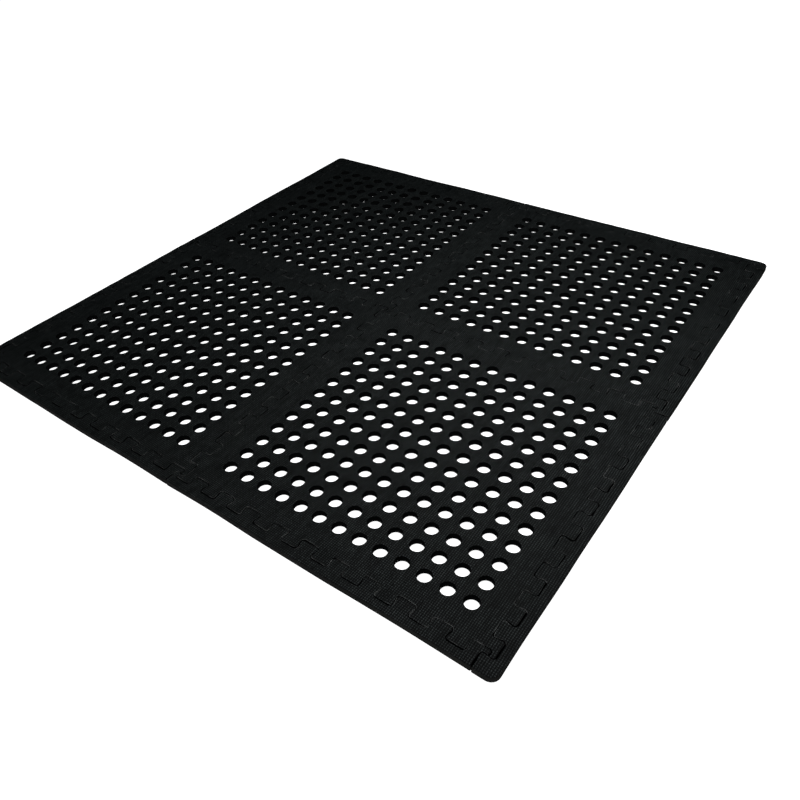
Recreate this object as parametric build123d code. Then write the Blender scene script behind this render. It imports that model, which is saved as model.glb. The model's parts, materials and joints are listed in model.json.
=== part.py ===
from build123d import *
import math
import os

# Perforated foam mat: four square tiles that interlock through dovetail teeth, framed by
# eight straight-edged edging strips. Millimetres, +Z up, origin on the floor plane under
# the middle of the mat, front side towards -Y.

# Driving dimensions
TILE_PITCH = 600.0            # from one tile to the next, between the middle lines of their seams
THICKNESS = 12.0              # of every tile and strip
HOLE_PITCH = 40.0             # between neighbouring holes
HOLE_DIAMETER = 24.0
HOLES_PER_SIDE = 13
TOOTH_WIDTH = 30.0            # of one tooth or one socket, on the middle line of the seam
TOOTH_REACH = 10.5            # from the middle line to the crest of a tooth
TOOTH_FLARE = 2.5             # how far each flank of a tooth widens towards its crest
TOOTH_ROUNDING = 5.0          # radius of the corners of a tooth
TIP_ROUNDING = 2.0            # radius of the tips where several pieces meet
EDGING_WIDTH = 27.0           # from the middle line of the seam to the outer edge of the mat
MAT_CORNER_ROUNDING = 16.0    # radius of the four corners of the mat
STRIP_END_ROUNDING = 2.5      # radius of a strip's end corners on the outer edge
SEAM_GAP = 0.4                # clearance between neighbouring pieces

# Derived dimensions
TEETH_AND_SOCKETS = round(TILE_PITCH / TOOTH_WIDTH)
HALF_MAT = TILE_PITCH + EDGING_WIDTH + SEAM_GAP / 2    # the outline is moved in by half a gap
HOLE_GRID_SPAN = HOLE_PITCH * (HOLES_PER_SIDE - 1)


def crest(index):
    """Height of a seam's crest over its middle line: even stretches dip, odd ones rise."""
    return TOOTH_REACH if index % 2 else -TOOTH_REACH


def seam_rightwards(first, last):
    """Corners of a seam along +X over the crossings first to last, as (x, y, radius)."""
    points = []
    for index in range(first, last + 1):
        x = index * TOOTH_WIDTH
        points.append((x + TOOTH_FLARE, crest(index - 1), TOOTH_ROUNDING))
        points.append((x - TOOTH_FLARE, crest(index), TOOTH_ROUNDING))
    return points


def shifted(points, dx, dy):
    return [(x + dx, y + dy, radius) for x, y, radius in points]


def quarter_turns(points, count):
    """Turn the points about the origin by a number of right angles, anticlockwise."""
    for _ in range(count % 4):
        points = [(-y, x, radius) for x, y, radius in points]
    return points


def tile_side():
    """Front side of a tile, from its left corner, which lies at the origin, to the right one."""
    tip = [(0, 0, TIP_ROUNDING)]
    first_flank = [(-TOOTH_FLARE, crest(0), TOOTH_ROUNDING)]
    last_flank = [(TILE_PITCH + TOOTH_FLARE, TOOTH_REACH, TOOTH_ROUNDING)]
    return tip + first_flank + seam_rightwards(1, TEETH_AND_SOCKETS - 1) + last_flank


def tile_outline():
    """Closed anticlockwise outline of a tile about its own middle."""
    side = shifted(tile_side(), -TILE_PITCH / 2, -TILE_PITCH / 2)
    outline = []
    for turn in range(4):
        outline += quarter_turns(side, turn)
    return outline


def strip_outline_with_corner():
    """Front edging strip on the left, which carries the rounded corner of the mat."""
    outer_and_joint = [
        (-HALF_MAT, -HALF_MAT, MAT_CORNER_ROUNDING),
        (-TOOTH_REACH, -HALF_MAT, STRIP_END_ROUNDING),
        (-TOOTH_REACH, -TILE_PITCH + TOOTH_FLARE, TOOTH_ROUNDING),
        (0, -TILE_PITCH, TIP_ROUNDING),
        (TOOTH_FLARE, -TILE_PITCH + TOOTH_REACH, TOOTH_ROUNDING),
    ]
    seam = shifted(seam_rightwards(-TEETH_AND_SOCKETS, -1), 0, -TILE_PITCH)
    left_end = [(-HALF_MAT, -TILE_PITCH + TOOTH_REACH, STRIP_END_ROUNDING)]
    return outer_and_joint + seam[::-1] + left_end


def strip_outline_plain():
    """Front edging strip on the right, which ends against the strip round the corner."""
    outer_and_end = [
        (-TOOTH_REACH, -HALF_MAT, STRIP_END_ROUNDING),
        (TILE_PITCH - TOOTH_REACH, -HALF_MAT, STRIP_END_ROUNDING),
        (TILE_PITCH - TOOTH_REACH, -TILE_PITCH + TOOTH_FLARE, TOOTH_ROUNDING),
        (TILE_PITCH, -TILE_PITCH, TIP_ROUNDING),
        (TILE_PITCH + TOOTH_FLARE, -TILE_PITCH + TOOTH_REACH, TOOTH_ROUNDING),
    ]
    seam = shifted(seam_rightwards(1, TEETH_AND_SOCKETS - 1), 0, -TILE_PITCH)
    joint = [
        (-TOOTH_FLARE, -TILE_PITCH - TOOTH_REACH, TOOTH_ROUNDING),
        (0, -TILE_PITCH, TIP_ROUNDING),
        (-TOOTH_REACH, -TILE_PITCH + TOOTH_FLARE, TOOTH_ROUNDING),
    ]
    return outer_and_end + seam[::-1] + joint


def moved_inwards(outline, distance):
    """Shrink an anticlockwise outline, and keep its rounded corners concentric."""
    moved = []
    for index, (x, y, radius) in enumerate(outline):
        before = outline[index - 1]
        after = outline[(index + 1) % len(outline)]
        arriving = math.atan2(y - before[1], x - before[0])
        leaving = math.atan2(after[1] - y, after[0] - x)
        turn = (leaving - arriving + math.pi) % (2 * math.pi) - math.pi
        inward = arriving + turn / 2 + math.pi / 2
        reach = distance / math.cos(turn / 2)
        new_radius = radius - math.copysign(distance, turn)
        moved.append((x + reach * math.cos(inward), y + reach * math.sin(inward), new_radius))
    return moved


def outline_wire(outline):
    """Wire of an outline, whose corners become arcs of their own radius."""
    fitted = moved_inwards(outline, SEAM_GAP / 2)
    corners = [(x, y) for x, y, _ in fitted]
    radii = [radius for _, _, radius in fitted]
    return Wire(FilletPolyline(*corners, radius=radii, close=True).edges())


def hole_wires(middle_x, middle_y):
    """Circles of a tile's square grid of holes."""
    start = -HOLE_GRID_SPAN / 2
    wires = []
    for row in range(HOLES_PER_SIDE):
        for column in range(HOLES_PER_SIDE):
            x = middle_x + start + column * HOLE_PITCH
            y = middle_y + start + row * HOLE_PITCH
            wires.append(Wire.make_circle(HOLE_DIAMETER / 2, Plane((x, y, 0))))
    return wires


def sheet(outline, holes):
    """Solid sheet of foam on the floor plane."""
    face = Face(outline_wire(outline), holes)
    return Solid.extrude(face, Vector(0, 0, THICKNESS))


def make_tiles():
    sides = {"left": -1, "right": 1}
    depths = {"front": -1, "back": 1}
    tiles = {}
    for depth, y_sign in depths.items():
        for side, x_sign in sides.items():
            x = x_sign * TILE_PITCH / 2
            y = y_sign * TILE_PITCH / 2
            outline = shifted(tile_outline(), x, y)
            tiles[f"tile_{depth}_{side}"] = sheet(outline, hole_wires(x, y))
    return tiles


def make_edging():
    """Two strips on each side of the mat; each next side is a quarter turn of the one before."""
    names = [
        ("edging_front_left", "edging_front_right"),
        ("edging_right_front", "edging_right_back"),
        ("edging_back_right", "edging_back_left"),
        ("edging_left_back", "edging_left_front"),
    ]
    strips = {}
    for turn, (with_corner, plain) in enumerate(names):
        strips[with_corner] = sheet(quarter_turns(strip_outline_with_corner(), turn), [])
        strips[plain] = sheet(quarter_turns(strip_outline_plain(), turn), [])
    return strips


os.makedirs("parts", exist_ok=True)
pieces = make_tiles() | make_edging()
for name, piece in pieces.items():
    piece.label = name
    export_step(piece, f"parts/{name}.step")
    box = piece.bounding_box()
    print(name, round(piece.volume), "mm3, size", [round(length, 2) for length in box.size])
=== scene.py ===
import json
import math

import bpy
from mathutils import Matrix, Vector, noise
from mathutils.geometry import delaunay_2d_cdt


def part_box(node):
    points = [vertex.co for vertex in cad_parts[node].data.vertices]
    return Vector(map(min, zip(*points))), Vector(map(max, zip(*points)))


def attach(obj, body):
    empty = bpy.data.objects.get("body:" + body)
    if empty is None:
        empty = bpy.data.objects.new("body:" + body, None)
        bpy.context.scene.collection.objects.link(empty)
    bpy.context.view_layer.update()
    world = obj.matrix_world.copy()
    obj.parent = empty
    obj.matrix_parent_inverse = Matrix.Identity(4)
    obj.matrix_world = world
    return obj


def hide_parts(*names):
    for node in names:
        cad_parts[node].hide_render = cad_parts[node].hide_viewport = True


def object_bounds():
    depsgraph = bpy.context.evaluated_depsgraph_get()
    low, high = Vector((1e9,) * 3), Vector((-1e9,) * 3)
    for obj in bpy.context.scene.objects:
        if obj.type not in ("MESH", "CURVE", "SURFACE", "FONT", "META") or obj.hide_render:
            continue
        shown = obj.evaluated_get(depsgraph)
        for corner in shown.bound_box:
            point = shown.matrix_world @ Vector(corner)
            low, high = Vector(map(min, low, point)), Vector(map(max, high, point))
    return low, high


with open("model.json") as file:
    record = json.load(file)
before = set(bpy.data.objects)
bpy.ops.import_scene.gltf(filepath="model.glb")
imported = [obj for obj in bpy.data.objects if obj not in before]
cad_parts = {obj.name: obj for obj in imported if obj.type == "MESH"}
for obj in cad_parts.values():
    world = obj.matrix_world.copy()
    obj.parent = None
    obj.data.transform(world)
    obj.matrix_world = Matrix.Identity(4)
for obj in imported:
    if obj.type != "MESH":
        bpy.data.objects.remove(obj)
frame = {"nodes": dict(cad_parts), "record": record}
CAD_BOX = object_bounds()

# ---------------------------------------------------------------------------
# Sizes, in metres. The overall ones come from the frame.
# ---------------------------------------------------------------------------
MAT_HALF = CAD_BOX[1][0]
THICKNESS = CAD_BOX[1][2]
EDGING_WIDTH = 0.027          # from the middle line of a seam to the outer edge of the mat
TILE_PITCH = MAT_HALF - EDGING_WIDTH
TOOTH_WIDTH = 0.030           # of one tooth or one socket, on the middle line of the seam
TOOTH_REACH = 0.0105          # from the middle line to the crest of a tooth
TOOTH_FLARE = 0.0025          # how far each flank of a tooth widens towards its crest
TOOTH_ROUNDING = 0.005
TIP_ROUNDING = 0.002
MAT_CORNER_ROUNDING = 0.016
STRIP_END_ROUNDING = 0.0025
SEAM_GAP = 0.0004
HOLE_PITCH = 0.040
HOLE_DIAMETER = 0.024
HOLES_PER_SIDE = 13
TEETH_AND_SOCKETS = round(TILE_PITCH / TOOTH_WIDTH)
OUTLINE_HALF = MAT_HALF + SEAM_GAP / 2

# How the soft sheet differs from a hard plate
OUTER_RIM_ROUNDING = 0.0014   # of the upper edge round the mat, which is pressed in a mould
SEAM_RIM_TIGHT = 0.00015      # of the upper edges where the teeth press together
SEAM_RIM_OPEN = 0.0007        # of the upper edges where the seam gapes
SEAM_PULL = 0.0004            # how far an upper edge draws back where the seam gapes
JOINT_PULL = 0.0009           # how far the upper edges of two strip ends draw back from each other
SEAM_SWELL = 0.000196         # how far the walls of a seam swell towards each other at mid height
SCUFF_AND_GLINT_BAND = 0.0006           # width of flat skin beside a cut edge that takes its pale wear and painted glints
OUTER_WAVER = 0.0021          # how far the edge of the mat draws in, unlike on each strip
HOLE_RIM_ROUNDING = 0.0007
LOWER_ROUNDING = 0.0006       # of the lower edges
WALL_HOLLOW = 0.00025         # how far a cut wall draws in at mid height
TOP_WAVE = 0.00045            # how much the upper face rises and falls
OUTER_BAND = 0.014            # depth of the zone along the edge of the mat that draws in with it
OUTER_FULL = 0.003            # the outermost part of that zone, which draws in by the whole amount
OUTWARD_SHARE = 0.2           # how much of its normal has to face out of the mat there

# Smooth noise over the sheets: waves to a metre, and the step between the layers of one piece
BROAD_WAVES = 9
NEAR_WAVES = 34
GAPE_WAVES = 34
SCUFF_AND_GLINT_WAVES = 64
WAVER_WAVES = 5
LAYER = 40
WAVE_MIX = (0.55, 0.75)       # share of the broad and the near waves in the upper face
USUAL_WAVER, WAVER_SPREAD = 0.3, 1.6
USUAL_GAPE, GAPE_SPREAD = 0.46, 2.8
WIDE_GAPE = 0.8               # from here on the upper edge shows near-black cut foam instead of skin, as painted shade in the gaping groove

# Wear of the cut upper edges and painted glints on them, which turn them pale
USUAL_WEAR_AND_GLINT, WEAR_AND_GLINT_SPREAD = -0.65, 4.5
SIDE_GLINT = 0.4               # painted glint on edges that face left or right
FRONT_GLINT = 0.9              # painted glint on edges that face the front
FRONT_SOCKET_GLINT = 0.7       # painted glint on a tile's edges where a front strip's teeth press into its sockets
FACING_FRONT = -0.9           # greatest y of a normal that faces the front

# Fineness of the meshes
RIM_RINGS = 5                 # rings of points round a rounded upper edge
FOOT_RINGS = 3                # and round a lower edge
SKIN_RINGS = 1                # how many of the strips between the rings the skin covers at a cut; below them the near-black cut wall paints shade
OUTER_SKIN_RINGS = 2          # and round the edge of the mat
ARC_STEP = math.radians(17)   # longest arc between two points of an outline
EDGE_STEP = 0.012             # longest straight run between two points of an outline
HOLE_POINTS = 40
GRID_STEP = 0.020             # of the points that carry the waviness of the upper face
RIM_CLEARANCE = 3             # how many roundings those points keep away from an edge
MERGE_DISTANCE = 1e-9


# ---------------------------------------------------------------------------
# Outlines: the same tooth rhythm as the CAD pieces
# ---------------------------------------------------------------------------
def crest(index):
    """Height of a seam's crest over its middle line: even stretches dip, odd ones rise."""
    return TOOTH_REACH if index % 2 else -TOOTH_REACH


def seam_rightwards(first, last):
    """Corners of a seam along +X over the crossings first to last, as (x, y, radius)."""
    points = []
    for index in range(first, last + 1):
        x = index * TOOTH_WIDTH
        points.append((x + TOOTH_FLARE, crest(index - 1), TOOTH_ROUNDING))
        points.append((x - TOOTH_FLARE, crest(index), TOOTH_ROUNDING))
    return points


def shifted(points, dx, dy):
    """The same corners, moved by dx and dy."""
    return [(x + dx, y + dy, radius) for x, y, radius in points]


def quarter_turns(points, count):
    """The same corners, turned about the middle of the mat by count times 90 degrees."""
    for _ in range(count % 4):
        points = [(-y, x, radius) for x, y, radius in points]
    return points


def tile_outline(x, y):
    """Closed anticlockwise outline of the tile whose middle is at x, y."""
    side = [(0, 0, TIP_ROUNDING), (-TOOTH_FLARE, crest(0), TOOTH_ROUNDING)]
    side += seam_rightwards(1, TEETH_AND_SOCKETS - 1)
    side.append((TILE_PITCH + TOOTH_FLARE, TOOTH_REACH, TOOTH_ROUNDING))
    side = shifted(side, -TILE_PITCH / 2, -TILE_PITCH / 2)
    outline = []
    for turn in range(4):
        outline += quarter_turns(side, turn)
    return shifted(outline, x, y)


def strip_outline_with_corner():
    """Front edging strip on the left, which carries the rounded corner of the mat."""
    outline = [
        (-OUTLINE_HALF, -OUTLINE_HALF, MAT_CORNER_ROUNDING),
        (-TOOTH_REACH, -OUTLINE_HALF, STRIP_END_ROUNDING),
        (-TOOTH_REACH, -TILE_PITCH + TOOTH_FLARE, TOOTH_ROUNDING),
        (0, -TILE_PITCH, TIP_ROUNDING),
        (TOOTH_FLARE, -TILE_PITCH + TOOTH_REACH, TOOTH_ROUNDING),
    ]
    outline += shifted(seam_rightwards(-TEETH_AND_SOCKETS, -1), 0, -TILE_PITCH)[::-1]
    outline.append((-OUTLINE_HALF, -TILE_PITCH + TOOTH_REACH, STRIP_END_ROUNDING))
    return outline


def strip_outline_plain():
    """Front edging strip on the right, which ends against the strip round the corner."""
    outline = [
        (-TOOTH_REACH, -OUTLINE_HALF, STRIP_END_ROUNDING),
        (TILE_PITCH - TOOTH_REACH, -OUTLINE_HALF, STRIP_END_ROUNDING),
        (TILE_PITCH - TOOTH_REACH, -TILE_PITCH + TOOTH_FLARE, TOOTH_ROUNDING),
        (TILE_PITCH, -TILE_PITCH, TIP_ROUNDING),
        (TILE_PITCH + TOOTH_FLARE, -TILE_PITCH + TOOTH_REACH, TOOTH_ROUNDING),
    ]
    outline += shifted(seam_rightwards(1, TEETH_AND_SOCKETS - 1), 0, -TILE_PITCH)[::-1]
    outline += [
        (-TOOTH_FLARE, -TILE_PITCH - TOOTH_REACH, TOOTH_ROUNDING),
        (0, -TILE_PITCH, TIP_ROUNDING),
        (-TOOTH_REACH, -TILE_PITCH + TOOTH_FLARE, TOOTH_ROUNDING),
    ]
    return outline


def rounded_loop(outline, inset):
    """Points and outward normals of an outline that is moved in by inset and has round corners."""
    loop = []
    for index, (x, y, radius) in enumerate(outline):
        before = outline[index - 1]
        after = outline[(index + 1) % len(outline)]
        arriving = math.atan2(y - before[1], x - before[0])
        leaving = math.atan2(after[1] - y, after[0] - x)
        turn = (leaving - arriving + math.pi) % (2 * math.pi) - math.pi
        side = math.copysign(1, turn)
        inward = arriving + turn / 2 + math.pi / 2
        reach = inset / math.cos(turn / 2)
        corner = Vector((x + reach * math.cos(inward), y + reach * math.sin(inward)))
        arc_radius = radius - side * inset
        to_centre = arc_radius / math.cos(turn / 2)
        centre = corner + side * to_centre * Vector((math.cos(inward), math.sin(inward)))
        steps = max(2, math.ceil(abs(turn) / ARC_STEP))
        for step in range(steps + 1):
            heading = arriving + turn * step / steps
            normal = Vector((math.sin(heading), -math.cos(heading)))
            loop.append((centre + side * arc_radius * normal, normal))
    return with_even_runs(loop)


def with_even_runs(loop):
    """Add points on the long straight runs of a loop."""
    full = []
    for index, (point, normal) in enumerate(loop):
        full.append((point, normal))
        after, _ = loop[(index + 1) % len(loop)]
        pieces = math.ceil((after - point).length / EDGE_STEP)
        for piece in range(1, pieces):
            full.append((point.lerp(after, piece / pieces), normal))
    return full


def hole_loop(x, y):
    """Clockwise circle, whose normals point into the hole."""
    loop = []
    for index in range(HOLE_POINTS):
        angle = -2 * math.pi * index / HOLE_POINTS
        outward = Vector((math.cos(angle), math.sin(angle)))
        loop.append((Vector((x, y)) + outward * HOLE_DIAMETER / 2, -outward))
    return loop


def tile_holes(x, y):
    """Square grid of holes of the tile whose middle is at x, y."""
    start = -HOLE_PITCH * (HOLES_PER_SIDE - 1) / 2
    places = [start + index * HOLE_PITCH for index in range(HOLES_PER_SIDE)]
    return [hole_loop(x + dx, y + dy) for dy in places for dx in places]


# ---------------------------------------------------------------------------
# Soft foam sheet: a mesh with rounded rims, slightly hollow cut walls and a wavy upper face
# ---------------------------------------------------------------------------
def wall_profile(rim, pull, hollow):
    """Rings of a wall from the upper face down to the floor, as (inset, height)."""
    top = THICKNESS - TOP_WAVE
    rings = [(pull + rim + SCUFF_AND_GLINT_BAND, top)]
    for step in range(RIM_RINGS):
        angle = math.pi / 2 * step / (RIM_RINGS - 1)
        rings.append((pull + rim * (1 - math.sin(angle)), top - rim * (1 - math.cos(angle))))
    rings.append((hollow, THICKNESS / 2))
    for step in range(FOOT_RINGS):
        angle = math.pi / 2 * step / (FOOT_RINGS - 1)
        height = LOWER_ROUNDING * (1 - math.sin(angle))
        rings.append((LOWER_ROUNDING * (1 - math.cos(angle)), height))
    return rings


def between(low, high, share):
    """Value at a share of the way from low to high, where the share stays within 0 and 1."""
    return low + (high - low) * max(0.0, min(1.0, share))


def noise_at(x, y, waves, layer):
    """Smooth noise around 0 at x, y."""
    return noise.noise(Vector((x * waves, y * waves, layer)))


def top_wave(x, y, seed):
    """Height that the upper face gains at x, y; each piece has its own waves."""
    broad = noise_at(x, y, BROAD_WAVES, seed)
    near = noise_at(x, y, NEAR_WAVES, seed + LAYER)
    return TOP_WAVE * between(-1.0, 1.0, 0.5 + WAVE_MIX[0] * broad + WAVE_MIX[1] * near)


def faces_out_of_mat(place, normal):
    """Is a wall at this place, with this outward normal, part of the edge round the mat?"""
    for along, facing in zip(place, normal):
        near_edge = abs(along) > MAT_HALF - OUTER_BAND
        if near_edge and facing * along > OUTWARD_SHARE * abs(along):
            return True
    return False


def drawn_in(place, seed):
    """Where a place near the edge of the mat ends up as its strip draws in there."""
    waver = noise_at(place.x, place.y, WAVER_WAVES, seed + 4 * LAYER)
    inset = OUTER_WAVER * between(0.0, 1.0, USUAL_WAVER + WAVER_SPREAD * waver)
    moved = []
    for along in place:
        depth = abs(along) - MAT_HALF + OUTER_BAND
        share = between(0.0, 1.0, depth / (OUTER_BAND - OUTER_FULL))
        moved.append(along - math.copysign(inset * share, along))
    return Vector(moved)


def in_strip_joint(place):
    """Is a cut wall part of a joint between two strips, out beyond the teeth?"""
    return max(abs(place.x), abs(place.y)) > TILE_PITCH + TOOTH_REACH


def seam_gape(place, seed):
    """How open a seam is at a place: 0 where the foam presses together, 1 where it gapes."""
    if in_strip_joint(place):
        return 1.0
    looseness = noise_at(place.x, place.y, GAPE_WAVES, seed + 2 * LAYER)
    return between(0.0, 1.0, USUAL_GAPE + GAPE_SPREAD * looseness)


def scuff_and_glint_at(place, normal, seed):
    """How pale a cut upper edge is painted, from 0 to 1, as worn foam and painted glints; the
    glints are strongest on edges that face the front.
    """
    rub_and_glint = noise_at(place.x, place.y, SCUFF_AND_GLINT_WAVES, seed + 3 * LAYER)
    wear_and_glint = WEAR_AND_GLINT_SPREAD * rub_and_glint + SIDE_GLINT * abs(normal.x) - FRONT_GLINT * normal.y + USUAL_WEAR_AND_GLINT
    in_front_socket = abs(place.y + TILE_PITCH - TOOTH_REACH) < SCUFF_AND_GLINT_BAND
    if normal.y < FACING_FRONT and in_front_socket:
        wear_and_glint += FRONT_SOCKET_GLINT
    return between(0.0, 1.0, wear_and_glint)


# The cut wall's material is near black: cut foam with painted shade of holes and seams
SKIN, SHADED_CUT_WALL, OUTER_WALL = range(3)   # the order of each piece's materials


class SheetBuilder:
    """Collects the points and faces of one foam sheet."""

    def __init__(self, seed):
        self.seed = seed
        self.points = []
        self.scuffs_and_glints = []
        self.faces = []
        self.kinds = []
        self.rim_of_top = []
        self.rim_of_floor = []

    def add_point(self, x, y, height, scuff_and_glint=0.0):
        """Add a point, which rides on the waves of the upper face, and return its number."""
        lift = top_wave(x, y, self.seed) * height / THICKNESS
        self.points.append((x, y, height + lift))
        self.scuffs_and_glints.append(scuff_and_glint)
        return len(self.points) - 1

    def cut_edge(self, point, normal, is_hole, is_outer):
        """Profile of the wall at a point, how pale its edge is painted as worn foam with painted
        glints, and its strips of skin, none where the seam gapes wide so that dark cut foam paints
        shade there.
        """
        if is_hole:
            return wall_profile(HOLE_RIM_ROUNDING, 0.0, WALL_HOLLOW), 0.0, SKIN_RINGS
        if is_outer:
            return wall_profile(OUTER_RIM_ROUNDING, 0.0, WALL_HOLLOW), 0.0, OUTER_SKIN_RINGS
        gape = seam_gape(point, self.seed)
        rim = between(SEAM_RIM_TIGHT, SEAM_RIM_OPEN, gape)
        pull = JOINT_PULL if in_strip_joint(point) else SEAM_PULL * gape
        skin = 0 if gape > WIDE_GAPE else SKIN_RINGS
        return wall_profile(rim, pull, -SEAM_SWELL), scuff_and_glint_at(point, normal, self.seed), skin

    def add_wall(self, loop, is_hole):
        """A ring of quads round a loop; keeps its first and last ring as rims of the flat faces."""
        columns = []
        outer = []
        covered = []
        for point, normal in loop:
            outer.append(not is_hole and faces_out_of_mat(point, normal))
            profile, scuff_and_glint, skin = self.cut_edge(point, normal, is_hole, outer[-1])
            covered.append(skin)
            point = drawn_in(point, self.seed)
            column = []
            for level, (inset, height) in enumerate(profile):
                place = point - normal * inset
                # the upper rings of a cut edge carry its pale wear and painted glints
                rub_and_glint = scuff_and_glint if 0 < level <= SKIN_RINGS + 1 else 0.0
                column.append(self.add_point(place.x, place.y, height, rub_and_glint))
            columns.append(column)
        for index, column in enumerate(columns):
            after = (index + 1) % len(columns)
            beside = columns[after]
            wall = OUTER_WALL if outer[index] and outer[after] else SHADED_CUT_WALL
            skin = min(covered[index], covered[after])
            for level in range(len(column) - 1):
                quad = (column[level], column[level + 1], beside[level + 1], beside[level])
                self.faces.append(quad)
                # Rings below the skin take the near-black cut wall, which paints shade into holes
                # and gaping seams
                self.kinds.append(wall if level > skin else SKIN)
        self.rim_of_top.append([column[0] for column in columns])
        self.rim_of_floor.append([column[-1] for column in columns])

    def add_flat(self, rims, extra, upwards):
        """Triangles over the extra points, inside the first rim and outside the others."""
        ids = [vertex for rim in rims for vertex in rim]
        for x, y in extra:
            ids.append(self.add_point(x, y, THICKNESS - TOP_WAVE))
        loops = []
        start = 0
        for rim in rims:
            loop = list(range(start, start + len(rim)))
            loops.append(loop[::-1] if loops else loop)
            start += len(rim)
        flat = [Vector(self.points[vertex][:2]) for vertex in ids]
        found = delaunay_2d_cdt(flat, [], loops, 1, MERGE_DISTANCE)
        _, _, triangles, given_points, _, given_loops = found
        for triangle, inside_of in zip(triangles, given_loops):
            if inside_of != [0]:
                continue
            corners = [ids[given_points[vertex][0]] for vertex in triangle]
            self.faces.append(tuple(corners if upwards else corners[::-1]))
            self.kinds.append(SKIN)

    def make(self, name):
        """Turn the collected points and faces into an object."""
        mesh = bpy.data.meshes.new(name)
        mesh.from_pydata(self.points, [], self.faces)
        mesh.update()
        piece = bpy.data.objects.new(name, mesh)
        bpy.context.collection.objects.link(piece)
        for polygon, kind in zip(mesh.polygons, self.kinds):
            polygon.use_smooth = True
            polygon.material_index = kind
        mesh.attributes.new("scuff_and_glint", "FLOAT", "POINT").data.foreach_set("value", self.scuffs_and_glints)
        lay = [self.seed] * len(self.points)
        mesh.attributes.new("lay", "FLOAT", "POINT").data.foreach_set("value", lay)
        return piece


def inside_sheet(x, y, low, high, holes):
    """Is a grid point well inside a tile, and clear of its holes?"""
    margin = TOOTH_REACH + RIM_CLEARANCE * SEAM_RIM_OPEN
    if not (low[0] + margin < x < high[0] - margin and low[1] + margin < y < high[1] - margin):
        return False
    keep = HOLE_DIAMETER / 2 + RIM_CLEARANCE * HOLE_RIM_ROUNDING
    return all((Vector((x, y)) - centre).length > keep for centre in holes)


def grid_points(low, high, holes):
    """Points between the holes that let the upper face follow its waves."""
    points = []
    rows = round((high[1] - low[1]) / GRID_STEP)
    columns = round((high[0] - low[0]) / GRID_STEP)
    for row in range(rows + 1):
        for column in range(columns + 1):
            x = low[0] + column * GRID_STEP
            y = low[1] + row * GRID_STEP
            if inside_sheet(x, y, low, high, holes):
                points.append((x, y))
    return points


def foam_sheet(name, outline, holes, extra, seed):
    """Closed mesh of one piece of foam."""
    builder = SheetBuilder(seed)
    builder.add_wall(rounded_loop(outline, SEAM_GAP / 2), False)
    for loop in holes:
        builder.add_wall(loop, True)
    builder.add_flat(builder.rim_of_top, extra, True)
    builder.add_flat(builder.rim_of_floor, [], False)
    return builder.make(name)


# ---------------------------------------------------------------------------
# Node materials
# ---------------------------------------------------------------------------
class NodeTree:
    """Short way to add and link shader nodes."""

    def __init__(self, name):
        self.material = bpy.data.materials.new(name)
        self.material.use_nodes = True
        self.tree = self.material.node_tree
        self.shader = self.tree.nodes["Principled BSDF"]

    def add(self, kind, inputs=(), **settings):
        """Add a node; an input is either a value or the socket that feeds it."""
        node = self.tree.nodes.new(kind)
        for key, value in settings.items():
            setattr(node, key, value)
        for socket, value in dict(inputs).items():
            if isinstance(value, bpy.types.NodeSocket):
                self.tree.links.new(value, node.inputs[socket])
            else:
                node.inputs[socket].default_value = value
        return node

    def link(self, output, node, socket):
        self.tree.links.new(output, node.inputs[socket])

    def math(self, operation, first, second=0.0, third=0.0):
        inputs = {0: first, 1: second, 2: third}
        return self.add("ShaderNodeMath", inputs, operation=operation).outputs[0]

    def vector_math(self, operation, inputs):
        return self.add("ShaderNodeVectorMath", inputs, operation=operation).outputs[0]

    def scaled(self, place, scale):
        return self.add("ShaderNodeMapping", {"Vector": place, "Scale": scale}).outputs[0]

    def bump(self, height, distance, strength):
        inputs = {"Strength": strength, "Distance": distance, "Height": height}
        return self.add("ShaderNodeBump", inputs)

    def mix(self, factor, first, second):
        inputs = {"Factor": factor, "A": first, "B": second}
        return self.add("ShaderNodeMix", inputs).outputs["Result"]

    def attribute(self, name):
        return self.add("ShaderNodeAttribute", attribute_name=name).outputs["Fac"]

    def noise(self, place, scale, detail=3.0, roughness=0.55):
        settings = {"Vector": place, "Scale": scale, "Detail": detail, "Roughness": roughness}
        return self.add("ShaderNodeTexNoise", settings).outputs["Fac"]

    def blend(self, factor, first, second):
        """Colour between first and second."""
        node = self.add("ShaderNodeMix", data_type="RGBA")
        self.link(factor, node, "Factor")
        node.inputs["A"].default_value = (*first, 1)
        node.inputs["B"].default_value = (*second, 1)
        return node.outputs["Result"]

    def spread(self, value, low, high):
        """Map a noise value that runs around 0.5 to the range from low to high."""
        settings = {"Value": value, "From Min": 0.3, "From Max": 0.7, "To Min": low, "To Max": high}
        return self.add("ShaderNodeMapRange", settings).outputs["Result"]


# Skin with a linen embossing, whose colour holds painted shade in its pits and painted highlights
# on its threads; scales of noise are in features to a metre
THREAD = 0.0037               # width of one thread of the embossing
THREAD_CROSSING = 0.3         # the smaller, the more sharply a thread dives under the other
WARP_DIP = 0.35               # how much lower a thread is between the crossings
WEFT_DIP = 0.80
STREAKS_PER_THREAD = 0.6
STREAK_STRETCH = 0.18         # of a streak's noise along its thread
WARP_STREAK = 0.40            # how much the brightness differs from thread to thread
WEFT_STREAK = 0.14
WANDER_SCALE = 24.0
WANDER = 0.0022               # how far the threads stray from straight lines
LAY_SLANT = 0.37              # sideways part of the shift that each piece's weave has
SLUB_SCALE = 420.0
SLUB_TONE = (0.62, 1.22)
SLUB_HEIGHT = 0.3             # of the slubs, next to a weave of 1
PRESSING_SCALE = 16.0
PRESSING_TONE = (0.88, 1.12)
FADING_SCALE = 21.0
MOST_FADED = 0.35
FADED_TONE = 0.12
CRISPNESS = 2.6               # the higher, the narrower the painted highlight on the ridge of a thread
SKIN_GLOSS = 0.06
SKIN_ROUGHNESS = (0.50, 0.66)
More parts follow.
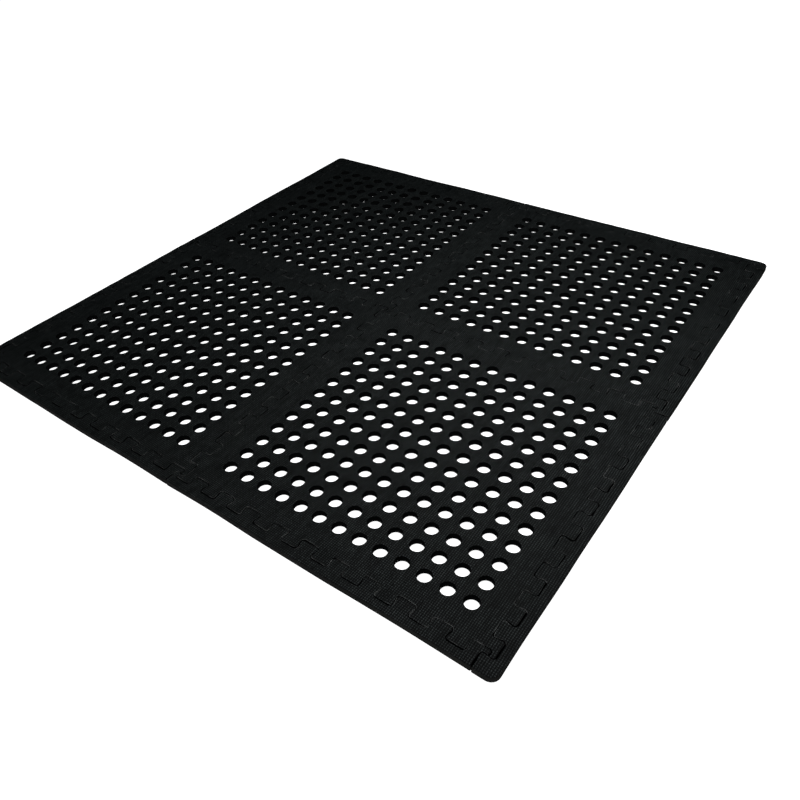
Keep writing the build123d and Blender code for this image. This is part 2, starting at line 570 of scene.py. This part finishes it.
SCUFF_AND_GLINT_COVER = (0.1, 1.0)      # how much of a worn and glinting edge is painted pale, from slub to slub
WEAVE_DEPTH = 0.0005
WEAVE_BUMP = 1.0
PRESSING_DEPTH = 0.0012
PRESSING_BUMP = 0.5
# Painted shade in the pits of the weave, and the skin's tone with painted highlights on the tops of
# the threads
SKIN_PIT_SHADE = (0.0004, 0.0005, 0.0005)
SKIN_TONE_AND_HIGHLIGHT = (0.0415, 0.0480, 0.0480)
# pale paint of worn edges and of painted glints on them
SCUFF_AND_GLINT_COLOUR = (0.24, 0.245, 0.24)

# Walls: cut by a knife at the holes and teeth, pressed in a mould round the mat; the cut walls are
# painted near black, partly for cut foam and partly as painted shade in the holes and seams
WALL_DEPTH = 0.0003
WALL_BUMP = 0.6
CELL_SCALE = 1500.0
DRAG_SCALE = 700.0
DRAG_STRETCH = 0.12           # of the knife's marks, up and down
DRAG_TONE = 0.5               # share of the knife's marks in the tone; the rest is patches
DRAG_HEIGHT = 0.8             # of the knife's marks, next to cells of 1
CUT_PATCH_SCALE = 60.0
CUT_ROUGHNESS = (0.85, 0.97)
MOULD_LINE_SCALE = 900.0
MOULD_LINE_STRETCH = 0.06     # of the mould's lines, round the mat
MOULD_LINE_TONE = 0.35        # share of the mould's lines in the tone; the rest is patches
MOULD_LINE_HEIGHT = 0.7       # of the mould's lines, next to a grain of 1
EDGE_PATCH_SCALE = 34.0
GRAIN_SCALE = 900.0
EDGE_ROUGHNESS = (0.55, 0.75)
# Cut foam's dark tone, deepened by painted shade of the holes and seams
CUT_SHADE_DARK = (0.0010, 0.0011, 0.0011)
CUT_SHADE_LIGHT = (0.0032, 0.0035, 0.0036)
EDGE_DARK = (0.0050, 0.0055, 0.0055)
EDGE_LIGHT = (0.0160, 0.0158, 0.0148)


def linen(nodes, place):
    """Height of a plain weave, from 0 in its pits to 1 on top of the threads."""
    axes = nodes.add("ShaderNodeSeparateXYZ", {0: place})
    across = nodes.math("SINE", nodes.math("MULTIPLY", axes.outputs["X"], math.pi / THREAD))
    along = nodes.math("SINE", nodes.math("MULTIPLY", axes.outputs["Y"], math.pi / THREAD))
    warp = nodes.math("ABSOLUTE", across)
    weft = nodes.math("ABSOLUTE", along)
    turns = nodes.math("MULTIPLY", across, along)
    crossing = {"Value": turns, "From Min": -THREAD_CROSSING, "From Max": THREAD_CROSSING}
    warp_on_top = nodes.add("ShaderNodeMapRange", crossing).outputs["Result"]
    warp_arch = nodes.math("MULTIPLY_ADD", weft, WARP_DIP, 1 - WARP_DIP)
    weft_arch = nodes.math("MULTIPLY_ADD", warp, WEFT_DIP, 1 - WEFT_DIP)
    warp_bump = nodes.math("MULTIPLY", warp, warp_arch)
    weft_bump = nodes.math("MULTIPLY", weft, weft_arch)
    return nodes.mix(warp_on_top, weft_bump, warp_bump)


def streak(nodes, place, stretch, depth):
    """Brightness that differs from one thread to the next, along one direction."""
    threads = nodes.scaled(place, stretch)
    from_thread_to_thread = nodes.noise(threads, STREAKS_PER_THREAD / THREAD, 1.0)
    return nodes.spread(from_thread_to_thread, 1.0 - depth, 1.0 + depth)


def strayed(nodes, place):
    """The place on the cloth that pressed the weave: threads stray, and pieces lie differently."""
    lay = nodes.attribute("lay")
    slant = nodes.math("MULTIPLY", lay, LAY_SLANT)
    offset = nodes.add("ShaderNodeCombineXYZ", {"X": lay, "Y": slant}).outputs[0]
    settings = {"Vector": place, "Scale": WANDER_SCALE, "Detail": 2.0}
    wander = nodes.add("ShaderNodeTexNoise", settings).outputs["Color"]
    pull = nodes.vector_math("SUBTRACT", {0: wander, 1: (0.5, 0.5, 0.5)})
    drift = nodes.vector_math("SCALE", {0: pull, "Scale": WANDER})
    shift = nodes.vector_math("ADD", {0: drift, 1: offset})
    return nodes.vector_math("ADD", {0: place, 1: shift})


def skin_material():
    """Closed foam skin with a linen embossing, unevenly pressed; its colour holds painted shade in
    the pits of the weave and painted highlights on its high threads, and its cut edges are painted
    pale as worn foam with painted glints.
    """
    nodes = NodeTree("foam_skin")
    place = nodes.add("ShaderNodeTexCoord").outputs["Object"]
    woven = strayed(nodes, place)
    weave = linen(nodes, woven)
    slub = nodes.noise(place, SLUB_SCALE, 2.0)
    pressing = nodes.noise(place, PRESSING_SCALE, 3.0)

    warp_streak = streak(nodes, woven, (1.0, STREAK_STRETCH, 1.0), WARP_STREAK)
    weft_streak = streak(nodes, woven, (STREAK_STRETCH, 1.0, 1.0), WEFT_STREAK)
    streaks = nodes.math("MULTIPLY", warp_streak, weft_streak)
    # The weave's height paints shade into its pits and highlights onto its threads
    uneven = nodes.math("MULTIPLY", weave, nodes.spread(slub, *SLUB_TONE))
    crisp_highlight = nodes.math("POWER", uneven, CRISPNESS)
    faded = nodes.spread(nodes.noise(place, FADING_SCALE, 2.0), MOST_FADED, 0.0)
    relief_shading = nodes.mix(faded, crisp_highlight, FADED_TONE)
    streaked = nodes.math("MULTIPLY", relief_shading, streaks)
    tone = nodes.math("MULTIPLY", streaked, nodes.spread(pressing, *PRESSING_TONE))
    colour = nodes.blend(tone, SKIN_PIT_SHADE, SKIN_TONE_AND_HIGHLIGHT)

    # Pale wear and painted glints on the cut upper edges
    pale_share = nodes.spread(slub, *SCUFF_AND_GLINT_COVER)
    scuff_and_glint = nodes.math("MULTIPLY", nodes.attribute("scuff_and_glint"), pale_share)
    scuffed_and_glinting = nodes.add("ShaderNodeMix", {"Factor": scuff_and_glint}, data_type="RGBA")
    nodes.link(colour, scuffed_and_glinting, "A")
    scuffed_and_glinting.inputs["B"].default_value = (*SCUFF_AND_GLINT_COLOUR, 1)
    nodes.link(scuffed_and_glinting.outputs["Result"], nodes.shader, "Base Color")
    nodes.link(nodes.spread(slub, *SKIN_ROUGHNESS), nodes.shader, "Roughness")
    nodes.shader.inputs["Specular IOR Level"].default_value = SKIN_GLOSS

    height = nodes.math("MULTIPLY_ADD", slub, SLUB_HEIGHT, weave)
    fine = nodes.bump(height, WEAVE_DEPTH, WEAVE_BUMP)
    broad = nodes.bump(pressing, PRESSING_DEPTH, PRESSING_BUMP)
    nodes.link(broad.outputs["Normal"], fine, "Normal")
    nodes.link(fine.outputs["Normal"], nodes.shader, "Normal")
    return nodes.material


def finish_wall(nodes, colour, roughness, height):
    """Give a wall its colour, roughness and bump, and no gloss."""
    nodes.link(colour, nodes.shader, "Base Color")
    nodes.link(roughness, nodes.shader, "Roughness")
    nodes.shader.inputs["Specular IOR Level"].default_value = 0.0
    bump = nodes.bump(height, WALL_DEPTH, WALL_BUMP)
    nodes.link(bump.outputs["Normal"], nodes.shader, "Normal")
    return nodes.material


def shaded_cut_material():
    """Knife-cut wall: open cells and faint vertical drag marks, painted near black for cut foam and
    as painted shade in the holes and seams.
    """
    nodes = NodeTree("foam_cut_and_shade")
    place = nodes.add("ShaderNodeTexCoord").outputs["Object"]
    cell_inputs = {"Vector": place, "Scale": CELL_SCALE}
    cells = nodes.add("ShaderNodeTexVoronoi", cell_inputs).outputs["Distance"]
    drag = nodes.noise(nodes.scaled(place, (1.0, 1.0, DRAG_STRETCH)), DRAG_SCALE, 2.0)
    patches = nodes.noise(place, CUT_PATCH_SCALE, 3.0)
    marks = nodes.math("MULTIPLY", drag, DRAG_TONE)
    tone = nodes.math("ADD", marks, nodes.math("MULTIPLY", patches, 1 - DRAG_TONE))
    colour = nodes.blend(nodes.spread(tone, 0.0, 1.0), CUT_SHADE_DARK, CUT_SHADE_LIGHT)
    height = nodes.math("ADD", cells, nodes.math("MULTIPLY", drag, DRAG_HEIGHT))
    return finish_wall(nodes, colour, nodes.spread(cells, *CUT_ROUGHNESS), height)


def edge_material():
    """Wall round the mat: worn skin with lines from the mould and dusty patches."""
    nodes = NodeTree("foam_edge")
    place = nodes.add("ShaderNodeTexCoord").outputs["Object"]
    flattened = nodes.scaled(place, (MOULD_LINE_STRETCH, MOULD_LINE_STRETCH, 1.0))
    lines = nodes.noise(flattened, MOULD_LINE_SCALE, 3.0)
    patches = nodes.noise(place, EDGE_PATCH_SCALE, 4.0)
    grain = nodes.noise(place, GRAIN_SCALE, 2.0)
    marks = nodes.math("MULTIPLY", lines, MOULD_LINE_TONE)
    tone = nodes.math("ADD", marks, nodes.math("MULTIPLY", patches, 1 - MOULD_LINE_TONE))
    colour = nodes.blend(nodes.spread(tone, 0.0, 1.0), EDGE_DARK, EDGE_LIGHT)
    height = nodes.math("ADD", grain, nodes.math("MULTIPLY", lines, MOULD_LINE_HEIGHT))
    return finish_wall(nodes, colour, nodes.spread(grain, *EDGE_ROUGHNESS), height)


# ---------------------------------------------------------------------------
# Pieces of the mat
# ---------------------------------------------------------------------------
def body_with(node):
    """Name of the body that holds a CAD node."""
    bodies = frame["record"]["behaviour"]["bodies"]
    return next(body for body, nodes in bodies.items() if node in nodes)


def finish_piece(piece, node, materials):
    """Give a sheet its materials and tell the frame what it stands for."""
    for material in materials:
        piece.data.materials.append(material)
    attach(piece, body_with(node))
    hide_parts(node)


TILE_SEED = 3.0
STRIP_SEED = 11.0


def make_tiles(materials):
    """A perforated sheet for each tile of the frame."""
    tiles = sorted(node for node in frame["nodes"] if node.startswith("tile_"))
    for number, node in enumerate(tiles):
        low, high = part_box(node)
        x = (low[0] + high[0]) / 2
        y = (low[1] + high[1]) / 2
        holes = tile_holes(x, y)
        centres = [sum((point for point, _ in loop), Vector((0, 0))) / len(loop) for loop in holes]
        extra = grid_points(low, high, centres)
        seed = TILE_SEED + number
        piece = foam_sheet(f"foam_{node}", tile_outline(x, y), holes, extra, seed)
        finish_piece(piece, node, materials)


# The two strips of each side, anticlockwise from the front; the first carries a rounded corner
STRIPS = [
    ("edging_front_left", "edging_front_right"),
    ("edging_right_front", "edging_right_back"),
    ("edging_back_right", "edging_back_left"),
    ("edging_left_back", "edging_left_front"),
]


def make_edging(materials):
    """A sheet for each edging strip; the sides of the mat are quarter turns of the front."""
    outlines = [strip_outline_with_corner(), strip_outline_plain()]
    for turn, nodes_of_side in enumerate(STRIPS):
        for number, (node, outline) in enumerate(zip(nodes_of_side, outlines)):
            turned = quarter_turns(outline, turn)
            seed = STRIP_SEED + 2 * turn + number
            piece = foam_sheet(f"foam_{node}", turned, [], [], seed)
            finish_piece(piece, node, materials)


# ---------------------------------------------------------------------------
# Stage, light and camera
# ---------------------------------------------------------------------------
FLOOR_SIZE = 14
FLOOR_DROP = 0.0002           # keeps the floor clear of the undersides


def make_floor():
    """Plain pale floor that glows, like a brightly lit white studio sweep."""
    bpy.ops.mesh.primitive_plane_add(size=FLOOR_SIZE, location=(0, 0, -FLOOR_DROP))
    floor = bpy.context.object
    floor.name = "floor"
    nodes = NodeTree("pale_floor")
    nodes.shader.inputs["Base Color"].default_value = (0.9, 0.9, 0.9, 1)
    nodes.shader.inputs["Roughness"].default_value = 0.9
    nodes.shader.inputs["Specular IOR Level"].default_value = 0.0
    nodes.shader.inputs["Emission Color"].default_value = (1, 1, 1, 1)
    nodes.shader.inputs["Emission Strength"].default_value = 1.0
    floor.data.materials.append(nodes.material)


def make_world():
    """Bright walls to look at, which throw only a little cool light on the mat."""
    world = bpy.data.worlds.new("studio")
    bpy.context.scene.world = world
    world.use_nodes = True
    tree = world.node_tree
    walls = tree.nodes["Background"]
    walls.inputs["Color"].default_value = (1, 1, 1, 1)
    walls.inputs["Strength"].default_value = 1.0
    glow = tree.nodes.new("ShaderNodeBackground")
    glow.inputs["Color"].default_value = (0.75, 0.95, 1.0, 1)
    glow.inputs["Strength"].default_value = 0.05
    seen = tree.nodes.new("ShaderNodeLightPath")
    choice = tree.nodes.new("ShaderNodeMixShader")
    tree.links.new(seen.outputs["Is Camera Ray"], choice.inputs["Fac"])
    tree.links.new(glow.outputs[0], choice.inputs[1])
    tree.links.new(walls.outputs[0], choice.inputs[2])
    tree.links.new(choice.outputs[0], tree.nodes["World Output"].inputs["Surface"])


def make_light(name, size, power, place, target=(0, 0, 0)):
    """Soft rectangular studio lamp that looks at its target, and stays out of every picture."""
    data = bpy.data.lights.new(name, "AREA")
    data.shape = "RECTANGLE"
    data.size, data.size_y = size
    data.energy = power
    lamp = bpy.data.objects.new(name, data)
    bpy.context.collection.objects.link(lamp)
    lamp.location = place
    lamp.visible_camera = False
    aim = Vector(target) - Vector(place)
    lamp.rotation_euler = aim.to_track_quat("-Z", "Y").to_euler()


KEY_PLACE = (0.43, 0.06, 1.05)
KEY_TARGET = (0.43, 0.06, 0.0)
KEY_SIZE = (0.6, 0.6)
KEY_POWER = 10.4
FILL_PLACE = (-0.3, -2.2, 1.3)
FILL_SIZE = (1.4, 1.0)
FILL_POWER = 16


def make_lights():
    """A key lamp straight over the right half, and a broad fill from the front."""
    make_light("key_light", KEY_SIZE, KEY_POWER, KEY_PLACE, KEY_TARGET)
    make_light("fill_light", FILL_SIZE, FILL_POWER, FILL_PLACE)


# Camera that matches the photograph
CAMERA_PLACE = (0.8426, -1.1072, 0.9197)
CAMERA_AZIMUTH = math.radians(39.430)
CAMERA_ELEVATION = math.radians(38.662)
CAMERA_ROLL = math.radians(-3.893)
CAMERA_LENS = 33.894
CAMERA_SENSOR = 36
CAMERA_SHIFT = (0.0413, -0.0193)


def make_camera():
    """Camera at its place, turned by azimuth, elevation and roll."""
    data = bpy.data.cameras.new("camera")
    data.sensor_width = CAMERA_SENSOR
    data.lens = CAMERA_LENS
    data.shift_x, data.shift_y = CAMERA_SHIFT
    data.clip_start = 0.01
    camera = bpy.data.objects.new("camera", data)
    bpy.context.collection.objects.link(camera)
    flat = math.cos(CAMERA_ELEVATION)
    back = Vector((
        math.sin(CAMERA_AZIMUTH) * flat,
        -math.cos(CAMERA_AZIMUTH) * flat,
        math.sin(CAMERA_ELEVATION),
    ))
    level = Vector((0, 0, 1)).cross(back).normalized()
    upright = back.cross(level)
    right = math.cos(CAMERA_ROLL) * level + math.sin(CAMERA_ROLL) * upright
    up = back.cross(right)
    turn = Matrix((right, up, back)).transposed().to_4x4()
    camera.matrix_world = Matrix.Translation(CAMERA_PLACE) @ turn
    bpy.context.scene.camera = camera


make_camera()
make_world()
make_lights()
make_floor()
foam = [skin_material(), shaded_cut_material(), edge_material()]
make_tiles(foam)
make_edging(foam)
bpy.context.scene.view_settings.view_transform = "Standard"

bpy.context.view_layer.update()
